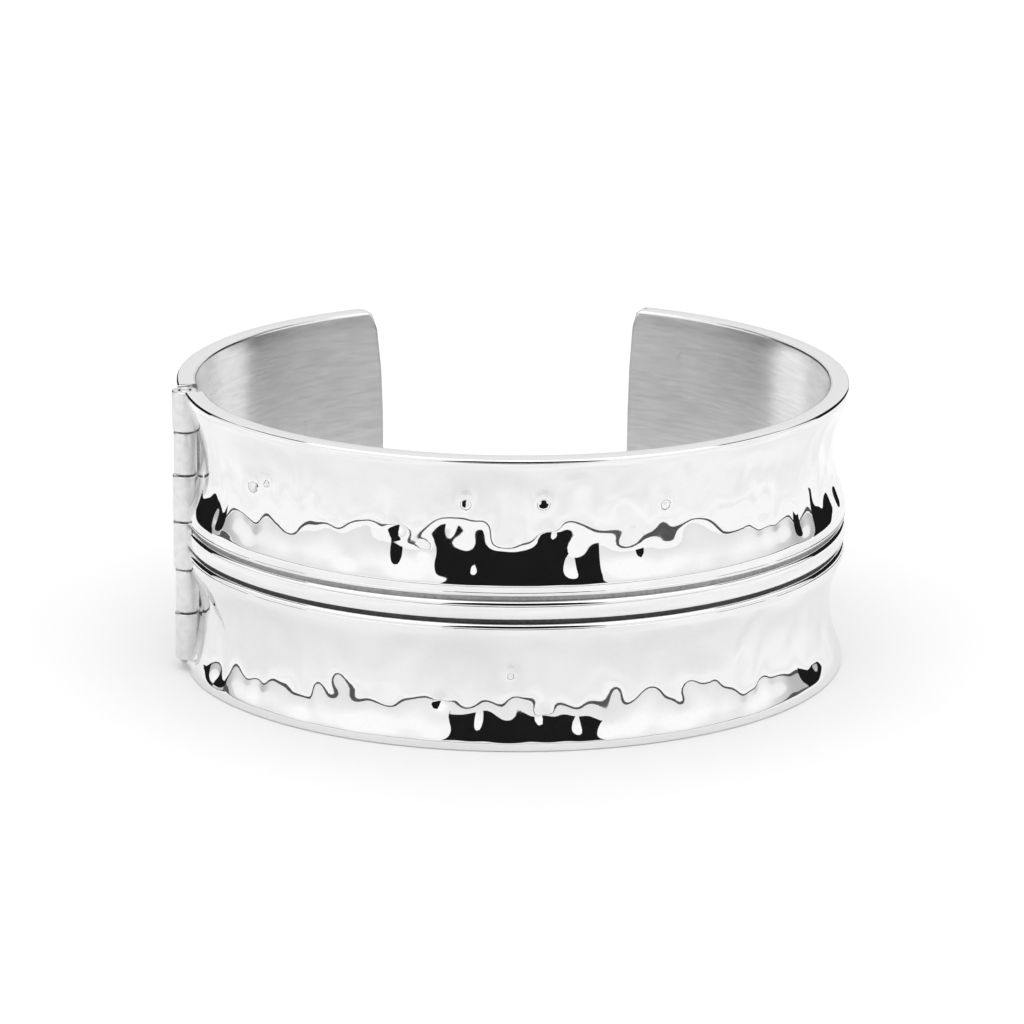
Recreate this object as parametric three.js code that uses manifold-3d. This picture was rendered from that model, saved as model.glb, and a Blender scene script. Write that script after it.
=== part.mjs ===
// Hinged cuff bangle, in millimetres. +Z is up: the cuff stands on its lower rim and the wrist goes
// through it along Z. The opening of the C is at the back (+Y) and the hinge at the left (-X).
// Every cross-section is the same strip of metal: two hollow coves between plain rims, with a
// beaded moulding between them, bent round an oval rim line.
import * as THREE from 'three';
import { mergeVertices } from 'three/addons/utils/BufferGeometryUtils.js';
import Module from 'manifold-3d';

// The oval rim line, which is the outer edge of both rims. The short arm is bent a little flatter.
const HALF_WIDTH = 32;
const HALF_DEPTH = { long: 27.35, short: 26.85 };
const HEIGHT = 27.9;

// The strip's cross-section. Depths are measured inwards from the rim line.
const RIM_THICKNESS = 1.9;
const OUTER_ROUND = 0.25;
const INNER_ROUND = 0.3;
const RIM_LAND = 0.85; // plain height of each rim, above or below its cove
const COVE_DEPTH = 1.24;
const SHOULDER = 0.08; // how softly a cove meets the lands beside it, as a part of its depth

// The moulding is a bead between two grooves, with a land beyond each. Rises are measured from
// its centre line.
const MOULDING_MIDDLE = 13.58; // height of the centre line
const COVE_RISE = 2.5;
const LAND_RISE = 1.7; // where a land rounds over into its groove
const LAND_DEPTH = 0.05;
const BEAD_RISE = 0.93; // where the bead leaves its groove
const MOULDING_ROUND = 0.42; // of the lands' and the bead's edges, which is also the grooves' depth
const CROWN = 0.03; // how far the bead's face swells

// The two ends beside the opening, by their angle round the rim line from +X. Each end is a
// shallow arc that bulges into the opening, with rounded corners.
const ENDS = {
  right: { angle: 66.5, bulge: 0.6 },
  left: { angle: 114.1, bulge: 1.05 },
};
const BULGE_POWER = 3;
const CORNER_ROUND = 0.9;

// The hinge: six knuckles stacked on one pin, counted from the bottom.
const HINGE_ANGLE = 190;
const HINGE_INSET = 0.5; // from the rim line in to the pin's axis
const BARREL_BOTTOM = 1.05;
const KNUCKLES = [
  { arm: 'long', height: 4.75, radius: 1.2 },
  { arm: 'short', height: 4.35, radius: 1.1 },
  { arm: 'long', height: 4.8, radius: 1.25 },
  { arm: 'long', height: 4.6, radius: 1.25 },
  { arm: 'short', height: 4.25, radius: 1.1 },
  { arm: 'long', height: 4.05, radius: 1.2 },
];
const KNUCKLE_ROUND = 0.15;
const JOINT_GAP = 0.16; // between neighbouring knuckles
const BORE_RADIUS = 0.62;
const PIN_RADIUS = 0.5;
const PIN_RECESS = 0.1; // of each pin end inside the barrel

// The walls beside the hinge, all measured along the rim line from the pin's axis.
const WALL_START = 0.35; // where an arm's wall meets its own knuckles
const NOTCH_REACH = { long: 1.9, short: 1.35 }; // where it is cut away round the other arm's
const SHELF_REACH = 1.3; // where the long arm's upper rim stops short of the top knuckle
const SHELF_DROP = 0.45;
const HINGE_TUCK = 0.3; // how far the long arm is bent in at the hinge
const TUCK_FADE = 18; // degrees over which it comes back to the oval

// Facets
const STEP_LENGTH = 2.5; // along the rim line
const COVE_STEPS = 9;
const ROUND_STEPS = 3;
const TURN_STEPS = 28;
const END_STEPS = 14;

const MERGE_DISTANCE = 1e-4;
const CLEARANCE = 1; // how far a cut runs past the metal it goes through
const wasm = await Module();
wasm.setup();

const silver = () => new THREE.MeshStandardMaterial({ color: 0xd9dadb, roughness: 0.12, metalness: 1 });
const pinSteel = () => new THREE.MeshStandardMaterial({ color: 0xb9babb, roughness: 0.35, metalness: 1 });

// The rim line's point, tangent (anticlockwise from above) and inward direction at an angle.
function rimFrame(arm, angle) {
  const radians = THREE.MathUtils.degToRad(angle);
  const halfDepth = HALF_DEPTH[arm];
  const point = new THREE.Vector3(HALF_WIDTH * Math.cos(radians), halfDepth * Math.sin(radians), 0);
  const tangent = new THREE.Vector3(-HALF_WIDTH * Math.sin(radians), halfDepth * Math.cos(radians), 0);
  tangent.normalize();
  const inward = new THREE.Vector3(0, 0, 1).cross(tangent);
  return { point, tangent, inward };
}

// A piece of one arm's rim line between two angles, bent in where the long arm nears the hinge.
class RimLine extends THREE.Curve {
  constructor(arm, fromAngle, toAngle) {
    super();
    this.arm = arm;
    this.fromAngle = fromAngle;
    this.toAngle = toAngle;
  }

  getPoint(t, target = new THREE.Vector3()) {
    const angle = THREE.MathUtils.lerp(this.fromAngle, this.toAngle, t);
    const { point, inward } = rimFrame(this.arm, angle);
    const fade = THREE.MathUtils.smoothstep(angle, HINGE_ANGLE, HINGE_ANGLE + TUCK_FADE);
    const tuck = this.arm === 'long' ? HINGE_TUCK * (1 - fade) : 0;
    return target.copy(point).addScaledVector(inward, tuck);
  }
}

// A hollow cove between two heights, sunk by COVE_DEPTH in its middle, with points a little beyond
// both heights where it has come out level with the land.
function coveArc(lowHeight, highHeight, lowDepth, highDepth) {
  const beyond = 1.05;
  const points = [];
  for (let i = 0; i <= COVE_STEPS; i += 1) {
    const along = beyond * Math.sin((Math.PI / 2) * ((2 * i) / COVE_STEPS - 1));
    const hollow = 1 - along * along;
    const softened = (hollow + Math.hypot(hollow, SHOULDER)) / 2;
    points.push({
      height: THREE.MathUtils.mapLinear(along, -1, 1, lowHeight, highHeight),
      depth: THREE.MathUtils.mapLinear(along, -1, 1, lowDepth, highDepth) + COVE_DEPTH * softened,
    });
  }
  return points;
}

// A quarter round of the section about a centre, between two directions in degrees: 0 points
// outwards, 90 up and 180 inwards.
function roundCorner(centreHeight, centreDepth, radius, fromAngle, toAngle) {
  const points = [];
  for (let i = 0; i <= ROUND_STEPS; i += 1) {
    const angle = THREE.MathUtils.degToRad(THREE.MathUtils.mapLinear(i, 0, ROUND_STEPS, fromAngle, toAngle));
    points.push({
      height: centreHeight + radius * Math.sin(angle),
      depth: centreDepth - radius * Math.cos(angle),
    });
  }
  return points;
}

// The moulding between the coves, from its lower land to its upper land.
function mouldingPoints() {
  const floorDepth = LAND_DEPTH + MOULDING_ROUND;
  const round = (rise, fromAngle, toAngle) => (
    roundCorner(MOULDING_MIDDLE + rise, floorDepth, MOULDING_ROUND, fromAngle, toAngle)
  );
  return [
    ...round(-LAND_RISE, 0, 90),
    ...round(MOULDING_ROUND - BEAD_RISE, -90, 0),
    { height: MOULDING_MIDDLE, depth: LAND_DEPTH - CROWN },
    ...round(BEAD_RISE - MOULDING_ROUND, 0, 90),
    ...round(LAND_RISE, -90, 0),
  ];
}

// The strip's closed cross-section. ExtrudeGeometry lays a shape's x downwards and its y inwards
// when it follows a level path, so x is minus the height and y is the depth.
function stripSection() {
  const outline = [
    ...roundCorner(OUTER_ROUND, OUTER_ROUND, OUTER_ROUND, -90, 0),
    ...coveArc(RIM_LAND, MOULDING_MIDDLE - COVE_RISE, 0, LAND_DEPTH),
    ...mouldingPoints(),
    ...coveArc(MOULDING_MIDDLE + COVE_RISE, HEIGHT - RIM_LAND, LAND_DEPTH, 0),
    ...roundCorner(HEIGHT - OUTER_ROUND, OUTER_ROUND, OUTER_ROUND, 0, 90),
    ...roundCorner(HEIGHT - INNER_ROUND, RIM_THICKNESS - INNER_ROUND, INNER_ROUND, 90, 180),
    ...roundCorner(INNER_ROUND, RIM_THICKNESS - INNER_ROUND, INNER_ROUND, 180, 270),
  ];
  return new THREE.Shape(outline.map(({ height, depth }) => new THREE.Vector2(-height, depth)));
}

// A closed geometry as a solid for cutting and joining.
function toSolid(geometry) {
  const bare = geometry.clone();
  bare.deleteAttribute('normal');
  bare.deleteAttribute('uv');
  const merged = mergeVertices(bare, MERGE_DISTANCE);
  return new wasm.Manifold(new wasm.Mesh({
    numProp: 3,
    vertProperties: merged.attributes.position.array,
    triVerts: new Uint32Array(merged.index.array),
  }));
}

function toMesh(name, solid, material) {
  const { vertProperties, triVerts } = solid.getMesh();
  const geometry = new THREE.BufferGeometry();
  geometry.setAttribute('position', new THREE.BufferAttribute(vertProperties, 3));
  geometry.setIndex(new THREE.BufferAttribute(triVerts, 1));
  geometry.computeVertexNormals();
  const mesh = new THREE.Mesh(geometry, material);
  mesh.name = name;
  return mesh;
}

// The bent strip of one arm between two angles, cut square across.
function bentStrip(arm, fromAngle, toAngle) {
  const extrudePath = new RimLine(arm, fromAngle, toAngle);
  const steps = Math.round(extrudePath.getLength() / STEP_LENGTH);
  return toSolid(new THREE.ExtrudeGeometry(stripSection(), { extrudePath, steps }));
}

// How far an end lies back from its foremost point at a height.
function endSetback(height, bulge) {
  const fromMiddle = Math.abs(height - HEIGHT / 2);
  const fromEdge = HEIGHT / 2 - fromMiddle;
  const arc = bulge * (fromMiddle / (HEIGHT / 2)) ** BULGE_POWER;
  if (fromEdge >= CORNER_ROUND) return arc;
  return arc + CORNER_ROUND - Math.sqrt(CORNER_ROUND ** 2 - (CORNER_ROUND - fromEdge) ** 2);
}

// The block that shapes one end: everything between the end's curved outline and the opening.
function endCutter(arm, { angle, bulge }, towardsOpening) {
  const reach = 3;
  const width = 3 * RIM_THICKNESS;
  const outline = [new THREE.Vector2(reach, -reach)];
  outline.push(new THREE.Vector2(reach, HEIGHT + reach));
  outline.push(new THREE.Vector2(-endSetback(HEIGHT, bulge) - reach, HEIGHT + reach));
  // Heights bunch towards the rims, where the corners turn.
  for (let i = 0; i <= END_STEPS; i += 1) {
    const height = (HEIGHT / 2) * (1 + Math.cos((Math.PI * i) / END_STEPS));
    outline.push(new THREE.Vector2(-endSetback(height, bulge), height));
  }
  outline.push(new THREE.Vector2(-endSetback(0, bulge) - reach, -reach));
  const block = new THREE.ExtrudeGeometry(new THREE.Shape(outline), { depth: width, bevelEnabled: false });
  block.translate(0, 0, -width / 2);
  const { point, tangent, inward } = rimFrame(arm, angle);
  const across = tangent.clone().multiplyScalar(towardsOpening);
  const up = new THREE.Vector3(0, 0, 1);
  const place = new THREE.Matrix4().makeBasis(across, up, across.clone().cross(up));
  place.setPosition(point.clone().addScaledVector(inward, RIM_THICKNESS / 2));
  return toSolid(block.applyMatrix4(place));
}

const hinge = rimFrame('long', HINGE_ANGLE);
const hingeAxis = hinge.point.clone().addScaledVector(hinge.inward, HINGE_INSET);

// A turned piece on the pin's axis with softly rounded edges.
function turnedOnAxis(radius, bottom, top, edgeRound) {
  const profile = [
    new THREE.Vector2(0, bottom),
    new THREE.Vector2(radius - edgeRound, bottom),
    new THREE.Vector2(radius, bottom + edgeRound),
    new THREE.Vector2(radius, top - edgeRound),
    new THREE.Vector2(radius - edgeRound, top),
    new THREE.Vector2(0, top),
  ];
  const turned = new THREE.LatheGeometry(profile, TURN_STEPS);
  turned.rotateX(Math.PI / 2); // the lathe turns about Y
  return toSolid(turned.translate(hingeAxis.x, hingeAxis.y, 0));
}

// The block that takes one arm's wall away between two heights, from a distance along the rim line
// on the arm's own side of the pin (+1 along the tangent for the long arm) to beyond the pin.
function notch(bottom, top, distance, ownSide) {
  const reach = 12;
  const block = new THREE.BoxGeometry(reach, reach, top - bottom);
  block.translate(ownSide * (distance - reach / 2), 0, (bottom + top) / 2);
  const up = new THREE.Vector3(0, 0, 1);
  const place = new THREE.Matrix4().makeBasis(hinge.tangent, hinge.inward, up);
  place.setPosition(hingeAxis);
  return toSolid(block.applyMatrix4(place));
}

// Each knuckle with the bottom and top of its share of the barrel.
function knuckleStack() {
  let bottom = BARREL_BOTTOM;
  return KNUCKLES.map(({ arm, height, radius }) => {
    const knuckle = { arm, radius, bottom, top: bottom + height };
    bottom += height;
    return knuckle;
  });
}

// One arm: its bent strip and curved end, notched beside the other arm's knuckles and joined to
// its own, all bored for the pin.
function makeArm(arm, strip, ownSide) {
  const stack = knuckleStack();
  const barrelTop = stack[stack.length - 1].top;
  let solid = strip;
  for (const { arm: owner, bottom, top } of stack) {
    if (owner !== arm) {
      const low = bottom === BARREL_BOTTOM ? -CLEARANCE : bottom - JOINT_GAP / 2;
      const high = top === barrelTop ? HEIGHT + CLEARANCE : top + JOINT_GAP / 2;
      solid = solid.subtract(notch(low, high, NOTCH_REACH[arm], ownSide));
    }
  }
  for (const { arm: owner, bottom, top, radius } of stack) {
    if (owner === arm) {
      solid = solid.add(turnedOnAxis(radius, bottom + JOINT_GAP / 2, top - JOINT_GAP / 2, KNUCKLE_ROUND));
    }
  }
  return solid.subtract(turnedOnAxis(BORE_RADIUS, -CLEARANCE, HEIGHT + CLEARANCE, 0));
}

// The angle round the rim line at a distance along it from the hinge.
function angleFromHinge(distance) {
  const step = 1;
  const perDegree = rimFrame('long', HINGE_ANGLE + step).point.distanceTo(hinge.point) / step;
  return HINGE_ANGLE + distance / perDegree;
}

function makeLongArm() {
  const fullTurn = 360;
  const whole = bentStrip('long', angleFromHinge(WALL_START), fullTurn + ENDS.right.angle);
  const shelf = notch(HEIGHT - SHELF_DROP, HEIGHT + CLEARANCE, SHELF_REACH, 1);
  const strip = whole.subtract(endCutter('long', ENDS.right, 1)).subtract(shelf);
  return toMesh('long_arm', makeArm('long', strip, 1), silver());
}

function makeShortArm() {
  const whole = bentStrip('short', ENDS.left.angle, angleFromHinge(-WALL_START));
  const strip = whole.subtract(endCutter('short', ENDS.left, -1));
  return toMesh('short_arm', makeArm('short', strip, -1), silver());
}

function makeHingePin() {
  const stack = knuckleStack();
  const bottom = BARREL_BOTTOM + PIN_RECESS;
  const top = stack[stack.length - 1].top - PIN_RECESS;
  return toMesh('hinge_pin', turnedOnAxis(PIN_RADIUS, bottom, top, KNUCKLE_ROUND), pinSteel());
}

const bangle = new THREE.Group();
bangle.add(makeLongArm(), makeShortArm(), makeHingePin());

// The origin is the middle of the footprint, on the surface that the lower rim stands on.
const box = new THREE.Box3().setFromObject(bangle, true);
const middle = box.getCenter(new THREE.Vector3());
bangle.position.set(-middle.x, -middle.y, 0);

export default bangle;
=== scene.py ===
import math
import random

import bmesh
import bpy
import numpy as np
from mathutils import Matrix, Vector


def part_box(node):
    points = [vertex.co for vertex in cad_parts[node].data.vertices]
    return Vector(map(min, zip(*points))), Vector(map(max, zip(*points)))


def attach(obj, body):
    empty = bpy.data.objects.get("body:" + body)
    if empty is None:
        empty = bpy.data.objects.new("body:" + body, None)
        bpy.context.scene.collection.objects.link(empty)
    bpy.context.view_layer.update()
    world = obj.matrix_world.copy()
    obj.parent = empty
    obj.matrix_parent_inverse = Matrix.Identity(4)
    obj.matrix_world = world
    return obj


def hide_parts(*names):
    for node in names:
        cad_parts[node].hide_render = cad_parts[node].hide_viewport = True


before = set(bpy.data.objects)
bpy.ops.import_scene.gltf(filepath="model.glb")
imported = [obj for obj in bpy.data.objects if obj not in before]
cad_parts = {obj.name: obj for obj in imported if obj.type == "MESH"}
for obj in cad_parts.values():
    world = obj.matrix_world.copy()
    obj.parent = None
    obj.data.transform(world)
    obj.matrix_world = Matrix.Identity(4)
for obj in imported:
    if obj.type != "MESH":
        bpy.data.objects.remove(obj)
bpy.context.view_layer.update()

# The looks of the hinged cuff bangle: hammered and polished arms, hinge knuckles and pin, laid
# round the frame. Sizes are in millimetres until MM turns them into the frame's metres.
MM = 0.001

# The oval rim line, which is the outer edge of both rims
HALF_WIDTH = 32.0
HALF_DEPTH = {"long": 27.35, "short": 26.85}
HEIGHT = 27.9

# The strip's cross-section; depths are measured inwards from the rim line
RIM_THICKNESS = 1.9
OUTER_ROUND = 0.25
INNER_ROUND = 0.3
RIM_LAND = 0.85
COVE_DEPTH = 1.24
SHOULDER = 0.08
# How far past its edges a cove's curve is drawn, and where the hammering fades out, as shares of its half
COVE_BEYOND = 1.05
HAMMER_FADE = (0.78, 1.02)

# The moulding: a bead between two grooves with a land beyond each; rises are from its middle
MOULDING_MIDDLE = 13.58
COVE_RISE = 2.5
LAND_RISE = 1.7
LAND_DEPTH = 0.05
BEAD_RISE = 0.93
MOULDING_ROUND = 0.42
CROWN = 0.03
FACE_TILT = 7.0
CREASE = {"rise": 1.75, "reach": 0.045, "depth": 0.05}

# The ends beside the opening
ENDS = {
    "long": {"angle": 426.5, "bulge": 0.6, "towards_opening": 1},
    "short": {"angle": 114.1, "bulge": 1.05, "towards_opening": -1},
}
BULGE_POWER = 3
CORNER_ROUND = 0.9
END_EDGE_ROUND = 0.16

# The hinge
HINGE_ANGLE = 190.0
HINGE_INSET = 0.5
BARREL_BOTTOM = 1.05
KNUCKLES = (
    {"name": "bottom", "arm": "long", "height": 4.75, "radius": 1.2},
    {"name": "lower", "arm": "short", "height": 4.35, "radius": 1.1},
    {"name": "lower_middle", "arm": "long", "height": 4.8, "radius": 1.25},
    {"name": "upper_middle", "arm": "long", "height": 4.6, "radius": 1.25},
    {"name": "upper", "arm": "short", "height": 4.25, "radius": 1.1},
    {"name": "top", "arm": "long", "height": 4.05, "radius": 1.2},
)
KNUCKLE_ROUND = 0.15
JOINT_GAP = 0.16
BORE_RADIUS = 0.62
PIN_RADIUS = 0.5
PIN_RECESS = 0.1
BORE_CHAMFER = 0.06
WALL_START = 0.35
NOTCH_REACH = {"long": 1.9, "short": 1.35}
SHELF_REACH = 1.3
SHELF_DROP = 0.45
CUT_REACH = 12.0
CUT_BEYOND = 1.0
HINGE_TUCK = 0.3
TUCK_FADE = 18.0

# Mesh fineness
COLUMN_STEP = 0.29
COVE_ROWS = 46
FACE_ROWS = 8
ROUND_ROWS = 9
INSIDE_SPARING = 12
END_ROUND_ROWS = 4
TURN_STEPS = 96
WALL_ROUND_STEPS = 5
ARC_SAMPLES = 2000
# The share of an arm's length from which its columns begin to follow the shape of its end
END_BLEND_FROM = 0.6
# Edges that bend more than this, in degrees, are drawn sharp.
SHARP_STRIP, SHARP_TURNED = 35, 40


def smoothstep(value, low, high):
    """0 below low, 1 above high and smooth between."""
    t = np.clip((value - low) / (high - low), 0.0, 1.0)
    return t * t * (3 - 2 * t)


def rim_frame(arm, angle):
    """Points, tangents (anticlockwise) and inward directions of the rim line about the oval's middle."""
    a = np.radians(angle)
    depth = HALF_DEPTH[arm]
    point = np.stack([HALF_WIDTH * np.cos(a), depth * np.sin(a), 0 * a], axis=-1)
    tangent = np.stack([-HALF_WIDTH * np.sin(a), depth * np.cos(a), 0 * a], axis=-1)
    tangent /= np.linalg.norm(tangent, axis=-1, keepdims=True)
    inward = np.stack([-tangent[..., 1], tangent[..., 0], 0 * a], axis=-1)
    return point, tangent, inward


def tuck(arm, angle):
    """How far the long arm is bent in where it nears the hinge."""
    if arm == "short":
        return 0 * angle
    return HINGE_TUCK * (1 - smoothstep(angle, HINGE_ANGLE, HINGE_ANGLE + TUCK_FADE))


# The hinge, and the oval's middle in the frame, found from the middle of the pin
HINGE_POINT, HINGE_TANGENT, HINGE_INWARD = rim_frame("long", HINGE_ANGLE)
pin_low, pin_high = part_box("hinge_pin")
HINGE_AXIS = Vector(((pin_low.x + pin_high.x) / 2, (pin_low.y + pin_high.y) / 2, 0)) / MM
OVAL_CENTRE = HINGE_AXIS - Vector(HINGE_POINT + HINGE_INWARD * HINGE_INSET)
MM_PER_DEGREE_AT_HINGE = np.linalg.norm(rim_frame("long", HINGE_ANGLE + 1)[0] - HINGE_POINT)


# ---------------------------------------------------------------- the section

# Zones of the strip's surface, which are also its material slots
POLISHED, SATIN, UPPER_GROOVE, SHADED_LOWER_GROOVE, RIM = range(5)


COVES = (
    (RIM_LAND, MOULDING_MIDDLE - COVE_RISE),
    (MOULDING_MIDDLE + COVE_RISE, HEIGHT - RIM_LAND),
)


def cove_rows(low_height, high_height, low_depth, high_depth):
    """A hollow between two heights: its rows as (height, depth, hammered, zone)."""
    rows = []
    for i in range(COVE_ROWS + 1):
        along = COVE_BEYOND * math.sin(math.pi / 2 * (2 * i / COVE_ROWS - 1))
        hollow = 1 - along * along
        softened = (hollow + math.hypot(hollow, SHOULDER)) / 2
        share = (along + 1) / 2
        height = low_height + (high_height - low_height) * share
        depth = low_depth + (high_depth - low_depth) * share + COVE_DEPTH * softened
        rows.append((height, depth, 1 - smoothstep(abs(along), *HAMMER_FADE), POLISHED))
    return rows


def upper_half_moulding():
    """From the middle of the bead's face to the upper land, as (rise, depth, zone)."""
    floor_depth = LAND_DEPTH + MOULDING_ROUND
    tilt = math.radians(FACE_TILT)
    face_radius = (BEAD_RISE - MOULDING_ROUND * (1 - math.sin(tilt))) / math.sin(tilt)
    face_top = LAND_DEPTH - CROWN
    points = []
    for i in range(1, FACE_ROWS + 1):
        a = tilt * i / FACE_ROWS
        points.append((face_radius * math.sin(a), face_top + face_radius * (1 - math.cos(a)), POLISHED))
    rise, depth, _ = points[-1]
    for i in range(1, ROUND_ROWS + 1):
        a = tilt + (math.pi / 2 - tilt) * i / ROUND_ROWS
        zone = UPPER_GROOVE if i == ROUND_ROWS else POLISHED
        points.append((rise + MOULDING_ROUND * (math.sin(a) - math.sin(tilt)),
                       depth + MOULDING_ROUND * (math.cos(tilt) - math.cos(a)), zone))
    for i in range(ROUND_ROWS + 1):
        a = math.pi / 2 * (1 - i / ROUND_ROWS)
        zone = UPPER_GROOVE if i == 0 else POLISHED
        points.append((LAND_RISE - MOULDING_ROUND * math.sin(a),
                       floor_depth - MOULDING_ROUND * math.cos(a), zone))
    points.append((CREASE["rise"] - CREASE["reach"], LAND_DEPTH, POLISHED))
    points.append((CREASE["rise"], LAND_DEPTH + CREASE["depth"], POLISHED))
    points.append((CREASE["rise"] + CREASE["reach"], LAND_DEPTH, POLISHED))
    return points


def moulding_rows():
    """The moulding from its lower land to its upper one: the upper half and its mirror image."""
    half = upper_half_moulding()
    # The mirrored lower groove takes its own material: its dark residue, darkened further with painted
    # shade.
    lower_zone = {UPPER_GROOVE: SHADED_LOWER_GROOVE, POLISHED: POLISHED}
    lower = [(-rise, depth, lower_zone[zone]) for rise, depth, zone in reversed(half)]
    middle = (0.0, LAND_DEPTH - CROWN, POLISHED)
    return [(MOULDING_MIDDLE + rise, depth, 0.0, zone) for rise, depth, zone in [*lower, middle, *half]]


def rim_round_rows():
    """The lower rim's outer edge, from the face it stands on up to its side."""
    rows = []
    for i in range(ROUND_ROWS + 1):
        a = math.pi / 2 * i / ROUND_ROWS
        rows.append((OUTER_ROUND * (1 - math.cos(a)), OUTER_ROUND * (1 - math.sin(a)), 0.0, POLISHED))
    return rows


def outer_rows():
    """The outside of the section from the lower rim to the upper one."""
    lower_round = rim_round_rows()
    return [
        *lower_round,
        *cove_rows(*COVES[0], 0, LAND_DEPTH),
        *moulding_rows(),
        *cove_rows(*COVES[1], LAND_DEPTH, 0),
        *[(HEIGHT - height, depth, 0.0, POLISHED) for height, depth, _, _ in reversed(lower_round)],
    ]


def inner_depth(height):
    """The inside wall's depth, rounded off at both rims."""
    from_edge = min(height, HEIGHT - height)
    if from_edge >= INNER_ROUND:
        return RIM_THICKNESS
    return RIM_THICKNESS - INNER_ROUND + math.sqrt(INNER_ROUND ** 2 - (INNER_ROUND - from_edge) ** 2)


# ---------------------------------------------------------------- the hammering

# Blows fall in rows along each cove, each a little off its place; "reach" is in half widths.
HAMMER = {"mean": 0.13, "spacing": 2.3, "rows": (-0.62, -0.05, 0.55), "depth": (0.04, 0.28),
          "half_width": (0.6, 1.1), "half_height": (0.9, 1.7), "stray_along": 0.45, "stray_up": 0.22,
          "reach": 3.5, "seed": 5}
# Small sharp dents, by their place round the rim line and up the wall
DENTS = (
    {"angle": 218.0, "height": 22.4, "size": 0.50, "depth": 0.50},
    {"angle": 221.6, "height": 23.0, "size": 0.42, "depth": 0.42},
    {"angle": 249.4, "height": 20.9, "size": 0.50, "depth": 0.40},
    {"angle": 254.0, "height": 18.7, "size": 0.38, "depth": 0.24},
    {"angle": 261.0, "height": 23.9, "size": 0.46, "depth": 0.48},
    {"angle": 274.0, "height": 24.0, "size": 0.50, "depth": 0.56},
    {"angle": 275.0, "height": 20.7, "size": 0.54, "depth": 0.42},
    {"angle": 295.4, "height": 23.2, "size": 0.42, "depth": 0.32},
    {"angle": 257.0, "height": 4.4, "size": 0.42, "depth": 0.30},
    {"angle": 268.8, "height": 7.4, "size": 0.44, "depth": 0.46},
    {"angle": 274.3, "height": 3.2, "size": 0.40, "depth": 0.30},
)


def hammer_blows(arm, length):
    """Every blow on an arm's coves: distance from its start, height, depth, half width, half height."""
    chance = random.Random(f"{arm} {HAMMER['seed']}")
    stray_along, stray_up = HAMMER["stray_along"], HAMMER["stray_up"]
    blows = []
    for low, high in COVES:
        middle, half = (low + high) / 2, (high - low) / 2
        for step in range(-1, round(length / HAMMER["spacing"]) + 2):
            for row in HAMMER["rows"]:
                blows.append((
                    (step + chance.uniform(-stray_along, stray_along)) * HAMMER["spacing"],
                    middle + half * (row + chance.uniform(-stray_up, stray_up)),
                    chance.uniform(*HAMMER["depth"]),
                    chance.uniform(*HAMMER["half_width"]),
                    chance.uniform(*HAMMER["half_height"]),
                ))
    return blows


def dent_blows(arm, distance_at):
    """The dents in the same form as the blows; the short arm has none."""
    if arm == "short":
        return []
    return [(distance_at(d["angle"]), d["height"], d["depth"], d["size"], d["size"]) for d in DENTS]


def hammered(distance, height, blows):
    """How far the metal is struck in, at distances along an arm and heights."""
    struck = np.zeros(distance.shape)
    for at, up, depth, wide, tall in blows:
        near = np.abs(distance - at) < HAMMER["reach"] * wide
        across = (distance[near] - at) / wide
        along = (height[near] - up) / tall
        struck[near] += depth * np.exp(-0.5 * (across ** 2 + along ** 2))
    return struck


# ---------------------------------------------------------------- the strips

def end_setback(height, bulge):
    """How far an end lies back from its foremost point at each height."""
    from_middle = np.abs(height - HEIGHT / 2)
    from_edge = HEIGHT / 2 - from_middle
    arc = bulge * (from_middle / (HEIGHT / 2)) ** BULGE_POWER
    short_of = np.clip(CORNER_ROUND - from_edge, 0, CORNER_ROUND)
    return arc + CORNER_ROUND - np.sqrt(CORNER_ROUND ** 2 - short_of ** 2)


def placed(arm, angle, depth, height):
    """Points in the frame, in metres, from their angle, depth and height on an arm."""
    point, _, inward = rim_frame(arm, angle)
    position = np.array(OVAL_CENTRE) + point + inward * (depth + tuck(arm, angle))[..., None]
    position[..., 2] = height
    return position * MM


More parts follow.
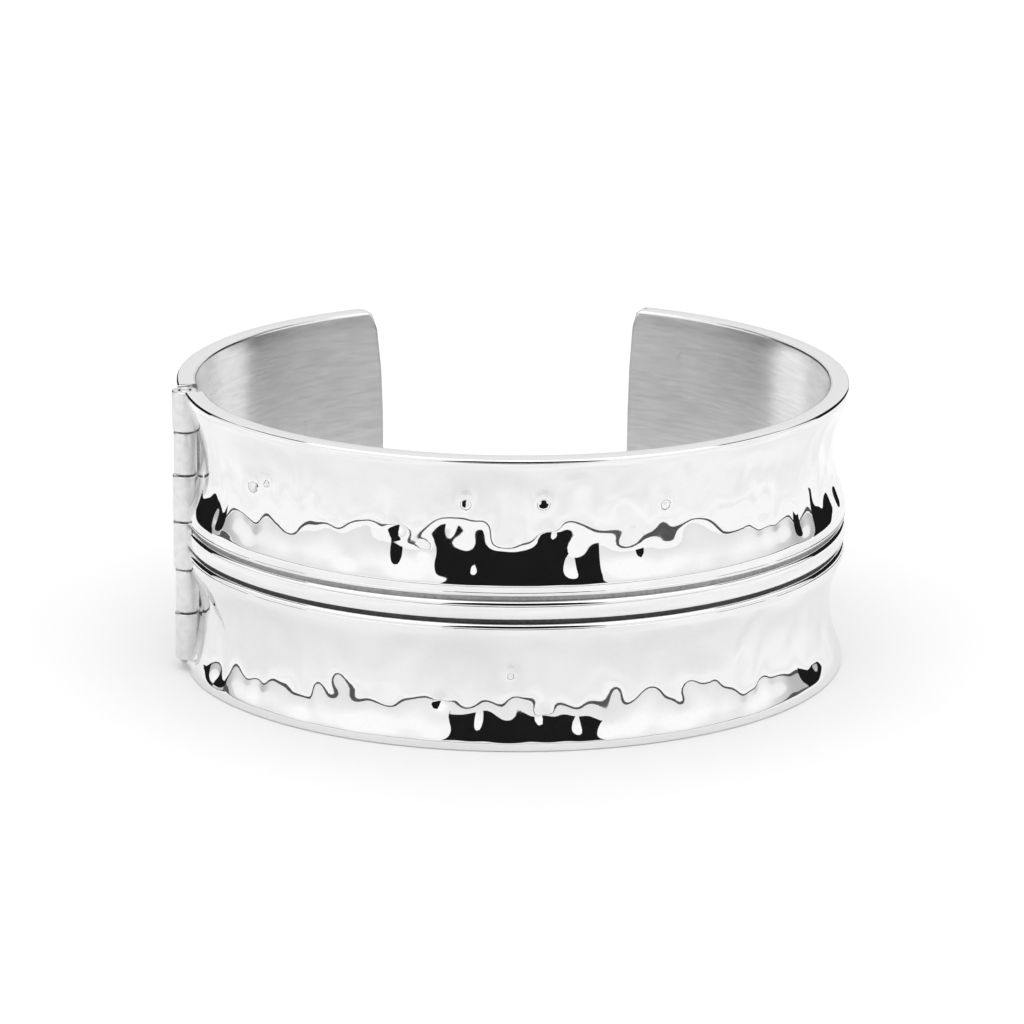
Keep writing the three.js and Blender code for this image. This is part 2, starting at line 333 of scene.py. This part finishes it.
def strip(arm):
    """One arm's bent strip as a closed mesh, from the hinge to its rounded end at the opening."""
    end = ENDS[arm]
    sign = end["towards_opening"]
    start_angle = HINGE_ANGLE + sign * WALL_START / MM_PER_DEGREE_AT_HINGE
    rows = outer_rows()
    rounds = ROUND_ROWS + 1
    inside = [i for i in range(len(rows))
              if i < rounds or i >= len(rows) - rounds or (i - rounds) % INSIDE_SPARING == 0]
    outer = np.array([row[:3] for row in rows])
    height = np.concatenate([outer[:, 0], outer[inside[::-1], 0]])
    depth = np.concatenate([outer[:, 1], [inner_depth(h) for h in outer[inside[::-1], 0]]])
    weight = np.concatenate([outer[:, 2], np.zeros(len(inside))])
    is_inside = np.arange(len(height)) >= len(rows)

    fine_angle = np.linspace(start_angle, end["angle"], ARC_SAMPLES)
    steps = np.linalg.norm(np.diff(rim_frame(arm, fine_angle)[0], axis=0), axis=1)
    fine_length = np.concatenate([[0], np.cumsum(steps)])
    length = fine_length[-1]
    mm_per_degree = steps[-1] / abs(fine_angle[-1] - fine_angle[-2])
    rising = fine_angle if sign > 0 else fine_angle[::-1]

    def distance_at(angle):
        return np.interp(angle, rising, fine_length if sign > 0 else fine_length[::-1])

    # Columns run along the arm and crowd towards the end, where they follow its curved outline.
    columns = round(length / COLUMN_STEP)
    share = np.linspace(0, 1, columns + 1)
    plain = np.interp(share * length, fine_length, fine_angle)
    setback = end_setback(height, end["bulge"])
    shift = -sign * (setback + END_EDGE_ROUND) / mm_per_degree
    angle = plain[:, None] + shift[None, :] * smoothstep(share, END_BLEND_FROM, 1.0)[:, None]
    inset = np.zeros(angle.shape)
    # The end's edge is rounded over: each further ring is a little smaller.
    for k in range(1, END_ROUND_ROWS + 1):
        a = math.pi / 2 * k / END_ROUND_ROWS
        back = setback + END_EDGE_ROUND * (1 - math.sin(a))
        angle = np.vstack([angle, end["angle"] - sign * back / mm_per_degree])
        inset = np.vstack([inset, np.full(len(height), END_EDGE_ROUND * (1 - math.cos(a)))])

    heights = np.clip(np.broadcast_to(height, angle.shape), inset, HEIGHT - inset)
    distance = distance_at(angle)
    blows = hammer_blows(arm, length) + dent_blows(arm, distance_at)
    struck = hammered(distance, heights, blows) * weight
    depths = depth + struck - weight * HAMMER["mean"] + np.where(is_inside, -inset, inset)
    vertices = placed(arm, angle, depths, heights).reshape(-1, 3)

    rings, count = angle.shape
    ring, spot = np.meshgrid(np.arange(rings - 1), np.arange(count), indexing="ij")
    following = (spot + 1) % count
    faces = np.stack([ring * count + spot, (ring + 1) * count + spot,
                      (ring + 1) * count + following, ring * count + following], axis=-1)
    zones = np.array([row[3] for row in rows] + [SATIN] * len(inside))
    zones[len(rows) - 1] = RIM
    zones[count - 1] = RIM
    face_zones = np.broadcast_to(zones, (rings - 1, count)).reshape(-1).tolist()
    face_list = faces.reshape(-1, 4).tolist()
    # Both ends are closed by faces through the wall, one for each inside row.
    for first in (0, (rings - 1) * count):
        for i, (low, high) in enumerate(zip(inside, inside[1:])):
            edge = [first + k for k in range(low, high + 1)]
            face_list.append([*edge, first + count - 2 - i, first + count - 1 - i])
            face_zones.append(RIM)

    mesh = bpy.data.meshes.new(f"{arm}_strip")
    mesh.from_pydata(vertices.tolist(), [], face_list)
    for material in STRIP_MATERIALS:
        mesh.materials.append(material)
    mesh.polygons.foreach_set("material_index", face_zones)
    bm = bmesh.new()
    bm.from_mesh(mesh)
    bmesh.ops.recalc_face_normals(bm, faces=bm.faces)
    bm.to_mesh(mesh)
    bm.free()
    mesh.shade_smooth()
    piece = bpy.data.objects.new(f"{arm}_strip", mesh)
    bpy.context.collection.objects.link(piece)
    return piece


def cutting_block(bottom, top, distance, own_side):
    """A block from a distance on the arm's own side of the pin to well past the pin."""
    bm = bmesh.new()
    bmesh.ops.create_cube(bm, size=1.0)
    bmesh.ops.scale(bm, vec=(CUT_REACH, CUT_REACH, top - bottom), verts=bm.verts)
    middle = (own_side * (distance - CUT_REACH / 2), 0, (bottom + top) / 2)
    bmesh.ops.translate(bm, vec=middle, verts=bm.verts)
    turn = Matrix((Vector(HINGE_TANGENT), Vector(HINGE_INWARD), Vector((0, 0, 1)))).transposed().to_4x4()
    bmesh.ops.transform(bm, matrix=Matrix.Translation(HINGE_AXIS) @ turn, verts=bm.verts)
    bmesh.ops.scale(bm, vec=(MM, MM, MM), verts=bm.verts)
    mesh = bpy.data.meshes.new("cut")
    bm.to_mesh(mesh)
    bm.free()
    block = bpy.data.objects.new("cut", mesh)
    bpy.context.collection.objects.link(block)
    return block


def knuckle_heights():
    """The knuckles, each with its bottom and top, stacked up from the foot of the barrel."""
    bottom = BARREL_BOTTOM
    stack = []
    for knuckle in KNUCKLES:
        stack.append({**knuckle, "bottom": bottom, "top": bottom + knuckle["height"]})
        bottom += knuckle["height"]
    return stack


STACK = knuckle_heights()


def notched(piece, arm):
    """The strip with room cut in it for the other arm's knuckles."""
    side = ENDS[arm]["towards_opening"]
    blocks = []
    for knuckle in STACK:
        if knuckle["arm"] != arm:
            low = -CUT_BEYOND if knuckle is STACK[0] else knuckle["bottom"] - JOINT_GAP / 2
            high = HEIGHT + CUT_BEYOND if knuckle is STACK[-1] else knuckle["top"] + JOINT_GAP / 2
            blocks.append(cutting_block(low, high, NOTCH_REACH[arm], side))
    if arm == "long":
        blocks.append(cutting_block(HEIGHT - SHELF_DROP, HEIGHT + CUT_BEYOND, SHELF_REACH, side))
    for block in blocks:
        cut = piece.modifiers.new("cut", "BOOLEAN")
        cut.operation = "DIFFERENCE"
        cut.solver = "EXACT"
        cut.object = block
    mesh = bpy.data.meshes.new_from_object(piece.evaluated_get(bpy.context.evaluated_depsgraph_get()))
    piece.modifiers.clear()
    piece.data = mesh
    for block in blocks:
        bpy.data.objects.remove(block)
    mesh.set_sharp_from_angle(angle=math.radians(SHARP_STRIP))
    return piece


# ---------------------------------------------------------------- turned pieces

def turned(name, profile):
    """A closed ring or rod turned about the pin's axis, from (radius, height) points."""
    bm = bmesh.new()
    rings = []
    for step in range(TURN_STEPS):
        a = math.tau * step / TURN_STEPS
        out = Vector((math.cos(a), math.sin(a), 0))
        ring = []
        for radius, height in profile:
            ring.append(bm.verts.new((HINGE_AXIS + out * radius + Vector((0, 0, height))) * MM))
        rings.append(ring)
    for step, ring in enumerate(rings):
        following = rings[(step + 1) % TURN_STEPS]
        for i in range(len(profile)):
            j = (i + 1) % len(profile)
            bm.faces.new((ring[i], ring[j], following[j], following[i])).smooth = True
    bmesh.ops.remove_doubles(bm, verts=bm.verts, dist=1e-7)
    bmesh.ops.recalc_face_normals(bm, faces=bm.faces)
    mesh = bpy.data.meshes.new(name)
    bm.to_mesh(mesh)
    bm.free()
    mesh.set_sharp_from_angle(angle=math.radians(SHARP_TURNED))
    piece = bpy.data.objects.new(name, mesh)
    bpy.context.collection.objects.link(piece)
    return piece


def rounded_wall(radius, bottom, top, round_over):
    """An outside wall from bottom to top with both edges rounded over."""
    points = []
    for i in range(WALL_ROUND_STEPS + 1):
        a = math.radians(90 * i / WALL_ROUND_STEPS)
        points.append((radius - round_over * (1 - math.sin(a)), bottom + round_over * (1 - math.cos(a))))
    for i in range(WALL_ROUND_STEPS + 1):
        a = math.radians(90 * i / WALL_ROUND_STEPS)
        points.append((radius - round_over * (1 - math.cos(a)), top - round_over * (1 - math.sin(a))))
    return points


def knuckle_piece(knuckle):
    """One knuckle: a ring with rounded outer edges round the pin's bore."""
    bottom = knuckle["bottom"] + JOINT_GAP / 2
    top = knuckle["top"] - JOINT_GAP / 2
    wall = rounded_wall(knuckle["radius"], bottom, top, KNUCKLE_ROUND)
    bore = [
        (BORE_RADIUS + BORE_CHAMFER, top),
        (BORE_RADIUS, top - BORE_CHAMFER),
        (BORE_RADIUS, bottom + BORE_CHAMFER),
        (BORE_RADIUS + BORE_CHAMFER, bottom),
    ]
    return turned(f"knuckle_{knuckle['name']}", [*wall, *bore])


def pin_piece():
    """The pin, sunk a little below the barrel's top and above its foot."""
    bottom = BARREL_BOTTOM + PIN_RECESS
    top = STACK[-1]["top"] - PIN_RECESS
    wall = rounded_wall(PIN_RADIUS, bottom, top, KNUCKLE_ROUND)
    return turned("pin", [(0, bottom), *wall, (0, top)])


# ---------------------------------------------------------------- materials

# The values that noise mostly keeps to, and the broad grain's patches a metre
NOISE_RANGE = (0.3, 0.7)
BROAD_GRAIN = 160
EVEN = (1, 1, 1)


def shader(name):
    """A new material with its nodes, its links and its main shader."""
    material = bpy.data.materials.new(name)
    material.use_nodes = True
    nodes = material.node_tree.nodes
    return material, nodes, material.node_tree.links, nodes["Principled BSDF"]


def grain(nodes, links, scale, stretch, detail):
    """Noise in the frame's own coordinates, stretched along each axis."""
    coordinates = nodes.new("ShaderNodeTexCoord")
    mapping = nodes.new("ShaderNodeMapping")
    mapping.inputs["Scale"].default_value = stretch
    texture = nodes.new("ShaderNodeTexNoise")
    texture.inputs["Scale"].default_value = scale
    texture.inputs["Detail"].default_value = detail
    links.new(coordinates.outputs["Object"], mapping.inputs["Vector"])
    links.new(mapping.outputs["Vector"], texture.inputs["Vector"])
    return texture.outputs["Fac"]


def mapped(nodes, links, value, low, high):
    """Noise, in the range it mostly keeps to, spread between two values."""
    spread = nodes.new("ShaderNodeMapRange")
    spread.inputs["From Min"].default_value = NOISE_RANGE[0]
    spread.inputs["From Max"].default_value = NOISE_RANGE[1]
    spread.inputs["To Min"].default_value = low
    spread.inputs["To Max"].default_value = high
    links.new(value, spread.inputs["Value"])
    return spread.outputs["Result"]


def metal(row):
    """Silver whose tint and relief vary with its fine grain, and its roughness with a broad one."""
    material, nodes, links, principled = shader(row["name"])
    principled.inputs["Metallic"].default_value = 1.0
    fine = grain(nodes, links, row["grain"], row["stretch"], detail=4)
    broad = grain(nodes, links, BROAD_GRAIN, EVEN, detail=2)
    links.new(mapped(nodes, links, broad, *row["roughness"]), principled.inputs["Roughness"])
    tint = nodes.new("ShaderNodeMix")
    tint.data_type = "RGBA"
    tint.inputs["A"].default_value = (*[row["light"]] * 3, 1)
    tint.inputs["B"].default_value = (*[row["worn"]] * 3, 1)
    links.new(mapped(nodes, links, fine, 0, 1), tint.inputs["Factor"])
    links.new(tint.outputs["Result"], principled.inputs["Base Color"])
    if row["relief"]:
        bump = nodes.new("ShaderNodeBump")
        bump.inputs["Strength"].default_value = 1.0
        bump.inputs["Distance"].default_value = row["relief"] * MM
        links.new(fine, bump.inputs["Height"])
        links.new(bump.outputs["Normal"], principled.inputs["Normal"])
    return material


# In the order of the strip's zones; reliefs are in millimetres and grains in patches a metre
STRIP_METALS = (
    {"name": "polished_silver", "light": 0.88, "worn": 0.86, "roughness": (0.02, 0.04),
     "grain": 2500, "stretch": EVEN, "relief": 0},
    {"name": "satin_silver", "light": 0.88, "worn": 0.74, "roughness": (0.18, 0.28),
     "grain": 450, "stretch": (1, 1, 7), "relief": 0},
    {"name": "groove_silver", "light": 0.42, "worn": 0.30, "roughness": (0.45, 0.6),
     "grain": 2600, "stretch": EVEN, "relief": 0.01},
    # The lower groove: dark residue in the hollow, plus painted shade under the bead, which makes it far
    # darker than the upper groove.
    {"name": "lower_groove_residue_and_painted_shade", "light": 0.08, "worn": 0.05, "roughness": (0.4, 0.6),
     "grain": 2600, "stretch": EVEN, "relief": 0.01},
    {"name": "rim_silver", "light": 0.88, "worn": 0.86, "roughness": (0.12, 0.18),
     "grain": 2500, "stretch": EVEN, "relief": 0},
)
STRIP_MATERIALS = tuple(metal(row) for row in STRIP_METALS)
KNUCKLE_SILVER = metal({"name": "knuckle_silver", "light": 0.84, "worn": 0.74, "roughness": (0.26, 0.38),
                        "grain": 1400, "stretch": EVEN, "relief": 0.006})
PIN_SILVER = metal({"name": "pin_silver", "light": 0.78, "worn": 0.70, "roughness": (0.2, 0.35),
                    "grain": 1800, "stretch": EVEN, "relief": 0.006})


# ---------------------------------------------------------------- the studio

# Azimuth 0 is where the camera stands, in front; positive azimuths are to its right.
HORIZON_GLOW = (
    {"elevation": 0, "light": 0.88},
    {"elevation": 8, "light": 0.95},
    {"elevation": 20, "light": 1.10},
    {"elevation": 50, "light": 1.12},
    {"elevation": 62, "light": 1.60},
    {"elevation": 90, "light": 1.60},
)
# The wall behind the bangle is duller than the front.
BACK_WALL = {"azimuth": 152, "soft": 5, "light": 0.83}
# A dark beam runs along each side wall, thinning out to its tip in front.
BEAM = {"elevation": 50, "half_height": 8, "azimuth": (80, 145), "thick_azimuth": 112,
        "soft_edge": 2.0, "light": 0.03}
LOW_SHADE = {"top": 8, "front_azimuth": 80, "full_azimuth": 110, "light": 0.6}
# How softly shades in the world begin and end, in degrees
SOFT = 1.5
FLOOR_WHITE, CARD_BLACK, SEAM_GREY = 0.93, 0.012, 0.10
FLOOR_REACH = 4000
# The seam's height as a share of its distance
SEAM_SHARE = 0.028
SEAM_STEPS = 24
# Painted shade on the floor round the bangle, in patches that only the metal sees
PAINTED_FLOOR_SHADE = {"light": (0.84, 0.95), "scale": 32, "reach": 118, "height": 0.01}
# The opening the camera looks in through, wider at its foot, and a gap in each side wall
DARK_CARDS = (
    {"name": "camera_opening", "low": 16, "high": 150,
     "foot": ((-40, -112), (52, -112)), "top": ((-24, -112), (32, -112))},
    {"name": "left_gap", "low": 0, "high": 190,
     "foot": ((-160, 50), (-160, 560)), "top": ((-160, 50), (-160, 560))},
    {"name": "right_gap", "low": 0, "high": 190,
     "foot": ((160, 45), (160, 260)), "top": ((160, 45), (160, 260))},
)
# The tent's foot from the back on the left, round the front, to the back on the right
TENT_FOOT = ((-420, 400), (-420, -118), (420, -118), (420, 400))
CORNERS = ((-1, -1), (1, -1), (1, 1), (-1, 1))
# Where the camera stands, seen from the point it aims at over the oval's middle. Angles are in degrees
# and the clipping distances in metres.
CAMERA = {"aim_height": 14.2, "distance": 436.3, "elevation": 18.0, "aside": 1.507, "roll": 0.52,
          "lens": 159.65, "sensor": 36, "clip": (0.01, 20)}


def maths(nodes, links, operation, *values):
    """A maths node fed with numbers or other nodes' outputs."""
    node = nodes.new("ShaderNodeMath")
    node.operation = operation
    for socket, value in zip(node.inputs, values):
        if isinstance(value, (int, float)):
            socket.default_value = value
        else:
            links.new(value, socket)
    return node.outputs[0]


def rise(nodes, links, value, low, high):
    """0 below low, 1 above high and smooth between; turned round when low is above high."""
    node = nodes.new("ShaderNodeMapRange")
    node.interpolation_type = "SMOOTHSTEP"
    node.inputs["From Min"].default_value = min(low, high)
    node.inputs["From Max"].default_value = max(low, high)
    node.inputs["To Min"].default_value = 0 if low < high else 1
    node.inputs["To Max"].default_value = 1 if low < high else 0
    links.new(value, node.inputs["Value"])
    return node.outputs["Result"]


def band(nodes, links, value, low, high, soft):
    """1 where the value lies between low and high, with soft edges."""
    return maths(nodes, links, "MULTIPLY",
                 rise(nodes, links, value, low - soft, low + soft),
                 rise(nodes, links, value, high + soft, high - soft))


def dimmed(nodes, links, light, where, share):
    """The light, cut to a share of itself where another value is 1."""
    return maths(nodes, links, "MULTIPLY", light,
                 maths(nodes, links, "MULTIPLY_ADD", where, share - 1, 1))


def make_world():
    """The light tent: bright above, duller low down and behind, with a dark beam along each side."""
    world = bpy.data.worlds.new("light_tent")
    bpy.context.scene.world = world
    world.use_nodes = True
    nodes, links = world.node_tree.nodes, world.node_tree.links
    background = nodes["Background"]
    coordinates = nodes.new("ShaderNodeTexCoord")
    parts = nodes.new("ShaderNodeSeparateXYZ")
    links.new(coordinates.outputs["Generated"], parts.inputs["Vector"])
    x, y, z = parts.outputs
    elevation = maths(nodes, links, "DEGREES", maths(nodes, links, "ARCSINE", z))
    toward = maths(nodes, links, "MULTIPLY", y, -1)
    azimuth = maths(nodes, links, "DEGREES", maths(nodes, links, "ARCTAN2", x, toward))
    aside = maths(nodes, links, "ABSOLUTE", azimuth)
    ramp = nodes.new("ShaderNodeValToRGB")
    elements = ramp.color_ramp.elements
    while len(elements) < len(HORIZON_GLOW):
        elements.new(0.5)
    brightest = max(row["light"] for row in HORIZON_GLOW)
    for element, row in zip(elements, HORIZON_GLOW):
        element.position = row["elevation"] / 90
        element.color = (*[row["light"] / brightest] * 3, 1)
    links.new(maths(nodes, links, "DIVIDE", elevation, 90), ramp.inputs["Fac"])
    light = maths(nodes, links, "MULTIPLY", ramp.outputs["Color"], brightest)
    behind = rise(nodes, links, aside, BACK_WALL["azimuth"] - BACK_WALL["soft"],
                  BACK_WALL["azimuth"] + BACK_WALL["soft"])
    light = dimmed(nodes, links, light, behind, BACK_WALL["light"])
    nearness = rise(nodes, links, aside, BEAM["azimuth"][0], BEAM["thick_azimuth"])
    thickness = maths(nodes, links, "MULTIPLY", nearness, BEAM["half_height"])
    off_beam = maths(nodes, links, "ABSOLUTE",
                     maths(nodes, links, "SUBTRACT", elevation, BEAM["elevation"]))
    inside = maths(nodes, links, "SUBTRACT", thickness, off_beam)
    in_beam = maths(nodes, links, "MULTIPLY",
                    rise(nodes, links, inside, 0, BEAM["soft_edge"]),
                    band(nodes, links, aside, *BEAM["azimuth"], SOFT))
    light = dimmed(nodes, links, light, in_beam, BEAM["light"])
    low = maths(nodes, links, "MULTIPLY",
                rise(nodes, links, aside, LOW_SHADE["front_azimuth"], LOW_SHADE["full_azimuth"]),
                band(nodes, links, elevation, -90, LOW_SHADE["top"], SOFT))
    light = dimmed(nodes, links, light, low, LOW_SHADE["light"])
    path = nodes.new("ShaderNodeLightPath")
    # The camera itself sees plain white above the floor.
    seen = path.outputs["Is Camera Ray"]
    light = maths(nodes, links, "ADD",
                  maths(nodes, links, "MULTIPLY", light, maths(nodes, links, "SUBTRACT", 1, seen)), seen)
    links.new(light, background.inputs["Color"])


def matt(principled):
    """No gloss at all."""
    principled.inputs["Roughness"].default_value = 1.0
    principled.inputs["Specular IOR Level"].default_value = 0.0


def plain_material(name, light):
    """A matt grey for the floor and the cards."""
    material, *_, principled = shader(name)
    principled.inputs["Base Color"].default_value = (light, light, light, 1)
    matt(principled)
    return material


def stage_mesh(name, verts, faces, material, camera_sees):
    """A piece of the studio, in millimetres; one the camera doesn't see shows in the metal alone."""
    mesh = bpy.data.meshes.new(name)
    mesh.from_pydata([Vector(v) * MM for v in verts], [], faces)
    mesh.materials.append(material)
    piece = bpy.data.objects.new(name, mesh)
    bpy.context.collection.objects.link(piece)
    if not camera_sees:
        piece.visible_camera = False
        piece.visible_diffuse = False
        piece.visible_shadow = False


def foot_seam(material):
    """The dark seam at the tent's foot, which only the metal sees; it is taller the further off it is."""
    verts = []
    for start, end in zip(TENT_FOOT, TENT_FOOT[1:]):
        for i in range(SEAM_STEPS + 1):
            x, y = (a + (b - a) * i / SEAM_STEPS for a, b in zip(start, end))
            for height in (0, SEAM_SHARE * math.hypot(x, y)):
                verts.append((OVAL_CENTRE.x + x, OVAL_CENTRE.y + y, height))
    faces = [(i, i + 2, i + 3, i + 1) for i in range(0, len(verts) - 2, 2)]
    stage_mesh("foot_seam", verts, faces, material, False)


def upright_card(card, material):
    """A dark upright card, given from the oval's middle, that only the metal sees."""
    corners = [(*card["foot"][0], card["low"]), (*card["foot"][1], card["low"]),
               (*card["top"][1], card["high"]), (*card["top"][0], card["high"])]
    verts = [(OVAL_CENTRE.x + x, OVAL_CENTRE.y + y, z) for x, y, z in corners]
    stage_mesh(card["name"], verts, [(0, 1, 2, 3)], material, False)


def painted_floor_shade_card():
    """Painted shade on the floor round the bangle, in faint light and dark patches, which only the metal
    sees.
    """
    material, nodes, links, principled = shader("floor_painted_shade")
    patches = grain(nodes, links, PAINTED_FLOOR_SHADE["scale"], EVEN, detail=1)
    links.new(mapped(nodes, links, patches, *PAINTED_FLOOR_SHADE["light"]), principled.inputs["Base Color"])
    matt(principled)
    reach = PAINTED_FLOOR_SHADE["reach"]
    verts = [(OVAL_CENTRE.x + x * reach, OVAL_CENTRE.y + y * reach, PAINTED_FLOOR_SHADE["height"])
             for x, y in CORNERS]
    stage_mesh("floor_painted_shade", verts, [(0, 1, 2, 3)], material, False)


def make_studio():
    """The light tent's world, floor, cards and seam."""
    make_world()
    white = plain_material("floor_white", FLOOR_WHITE)
    black = plain_material("card_black", CARD_BLACK)
    stage_mesh("floor", [(x * FLOOR_REACH, y * FLOOR_REACH, 0) for x, y in CORNERS],
               [(0, 1, 2, 3)], white, True)
    grey = plain_material("card_grey", SEAM_GREY)
    for card in DARK_CARDS:
        upright_card(card, black)
    painted_floor_shade_card()
    foot_seam(grey)


def make_camera():
    """The camera looks slightly down at the front, from a little left of the middle."""
    data = bpy.data.cameras.new("camera")
    data.sensor_width = CAMERA["sensor"]
    data.lens = CAMERA["lens"]
    camera = bpy.data.objects.new("camera", data)
    bpy.context.collection.objects.link(camera)
    aim = OVAL_CENTRE + Vector((0, 0, CAMERA["aim_height"]))
    e, a = math.radians(CAMERA["elevation"]), math.radians(CAMERA["aside"])
    back = Vector((-math.sin(a) * math.cos(e), -math.cos(a) * math.cos(e), math.sin(e)))
    roll = Matrix.Rotation(math.radians(CAMERA["roll"]), 3, "Z")
    camera.rotation_mode = "QUATERNION"
    camera.rotation_quaternion = ((-back).to_track_quat("-Z", "Y").to_matrix() @ roll).to_quaternion()
    camera.location = (aim + back * CAMERA["distance"]) * MM
    data.clip_start, data.clip_end = CAMERA["clip"]
    bpy.context.scene.camera = camera


# ---------------------------------------------------------------- putting it together

make_camera()
make_studio()
bpy.context.scene.view_settings.view_transform = "Standard"

for arm, body in (("long", "long_arm"), ("short", "short_arm")):
    piece = notched(strip(arm), arm)
    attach(piece, body)
    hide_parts(body)

for knuckle in STACK:
    body = knuckle["arm"] + "_arm"
    piece = knuckle_piece(knuckle)
    piece.data.materials.append(KNUCKLE_SILVER)
    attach(piece, body)
    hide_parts(body)

pin = pin_piece()
pin.data.materials.append(PIN_SILVER)
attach(pin, "long_arm")
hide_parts("hinge_pin")
